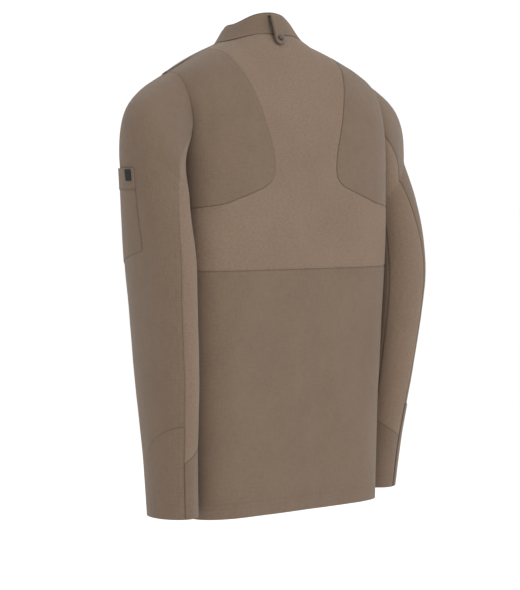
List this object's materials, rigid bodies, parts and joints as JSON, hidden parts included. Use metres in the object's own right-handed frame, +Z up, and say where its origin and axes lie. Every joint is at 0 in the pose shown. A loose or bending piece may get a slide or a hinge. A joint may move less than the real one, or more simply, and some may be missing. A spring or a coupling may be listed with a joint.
{
  "type": "work jacket",
  "caption": "Long-sleeved stand-collar work jacket with mesh back yoke, mesh strips under the sleeves, snap front, collar tab and sleeve pocket; shaped as worn, with moving arms and front",
  "frame": {"origin": "middle of the neck hole, level with the shoulder seams at the side of the neck", "axes": "+Z up; the wearer faces -Y; the wearer's left is +X"},
  "size_m": [0.6055, 0.2566, 0.7789],
  "materials": {
    "woven_cloth": "matte plain-woven poly-cotton",
    "mesh_knit": "matte open knit",
    "gunmetal": "satin dark",
    "black_tape": "matte"
  },
  "bodies": {
    "jacket": {"lower_back_panel": "woven_cloth", "mesh_back_yoke": "mesh_knit", "left_back_shoulder": "woven_cloth", "right_back_shoulder": "woven_cloth", "left_front_yoke": "woven_cloth", "right_front_yoke": "woven_cloth", "left_side_panel": "woven_cloth", "right_side_panel": "woven_cloth", "collar_outer": "woven_cloth", "collar_inner": "woven_cloth", "tab_snap_stud": "gunmetal", "hanger_loop": "woven_cloth"},
    "left_upper_arm": {"left_upper_sleeve": "woven_cloth", "left_upper_mesh_strip": "mesh_knit", "sleeve_pocket": "woven_cloth", "pocket_mouth_band": "woven_cloth", "sleeve_label": "black_tape"},
    "left_forearm": {"left_forearm_sleeve": "woven_cloth", "left_forearm_mesh_strip": "mesh_knit", "left_forearm_patch": "woven_cloth", "left_cuff": "woven_cloth", "left_cuff_facing": "woven_cloth"},
    "right_upper_arm": {"right_upper_sleeve": "woven_cloth", "right_upper_mesh_strip": "mesh_knit"},
    "right_forearm": {"right_forearm_sleeve": "woven_cloth", "right_forearm_mesh_strip": "mesh_knit", "right_forearm_patch": "woven_cloth", "right_cuff": "woven_cloth", "right_cuff_facing": "woven_cloth"},
    "left_front": {"left_front_panel": "woven_cloth", "left_placket": "woven_cloth", "front_snap_cap_1": "gunmetal", "front_snap_cap_2": "gunmetal", "front_snap_cap_3": "gunmetal", "front_snap_cap_4": "gunmetal", "front_snap_cap_5": "gunmetal", "front_snap_cap_6": "gunmetal"},
    "right_front": {"right_front_panel": "woven_cloth", "right_placket": "woven_cloth", "front_snap_stud_1": "gunmetal", "front_snap_stud_2": "gunmetal", "front_snap_stud_3": "gunmetal", "front_snap_stud_4": "gunmetal", "front_snap_stud_5": "gunmetal", "front_snap_stud_6": "gunmetal"},
    "tab": {"collar_tab": "woven_cloth", "tab_snap_cap": "gunmetal"}
  },
  "joints": [
    {"name": "left_shoulder_lift", "type": "hinge", "parent": "jacket", "child": "left_upper_arm", "pos_m": [0.194, 0, -0.057], "axis": [0, -1, 0], "range_deg": [0, 80]},
    {"name": "left_elbow_bend", "type": "hinge", "parent": "left_upper_arm", "child": "left_forearm", "pos_m": [0.238, -0.006, -0.4], "axis": [-0.9511, -0.309, 0], "range_deg": [0, 100]},
    {"name": "right_shoulder_lift", "type": "hinge", "parent": "jacket", "child": "right_upper_arm", "pos_m": [-0.194, 0, -0.057], "axis": [0, 1, 0], "range_deg": [0, 80]},
    {"name": "right_elbow_bend", "type": "hinge", "parent": "right_upper_arm", "child": "right_forearm", "pos_m": [-0.238, -0.02, -0.4], "axis": [-0.9511, 0.309, 0], "range_deg": [0, 100]},
    {"name": "left_front_open", "type": "hinge", "parent": "jacket", "child": "left_front", "pos_m": [0.1895, -0.033, -0.45], "axis": [0.0404, -0.0041, 0.9992], "range_deg": [0, 40]},
    {"name": "right_front_open", "type": "hinge", "parent": "jacket", "child": "right_front", "pos_m": [-0.1895, -0.033, -0.45], "axis": [0.0404, 0.0041, -0.9992], "range_deg": [0, 20]},
    {"name": "collar_tab_flip", "type": "hinge", "parent": "jacket", "child": "tab", "pos_m": [0, 0.03577, 0.04433], "axis": [1, 0, 0], "range_deg": [0, 150]}
  ],
  "couplings": [
    {"joint": "right_front_open", "follows": "left_front_open", "ratio": 0.5}
  ]
}
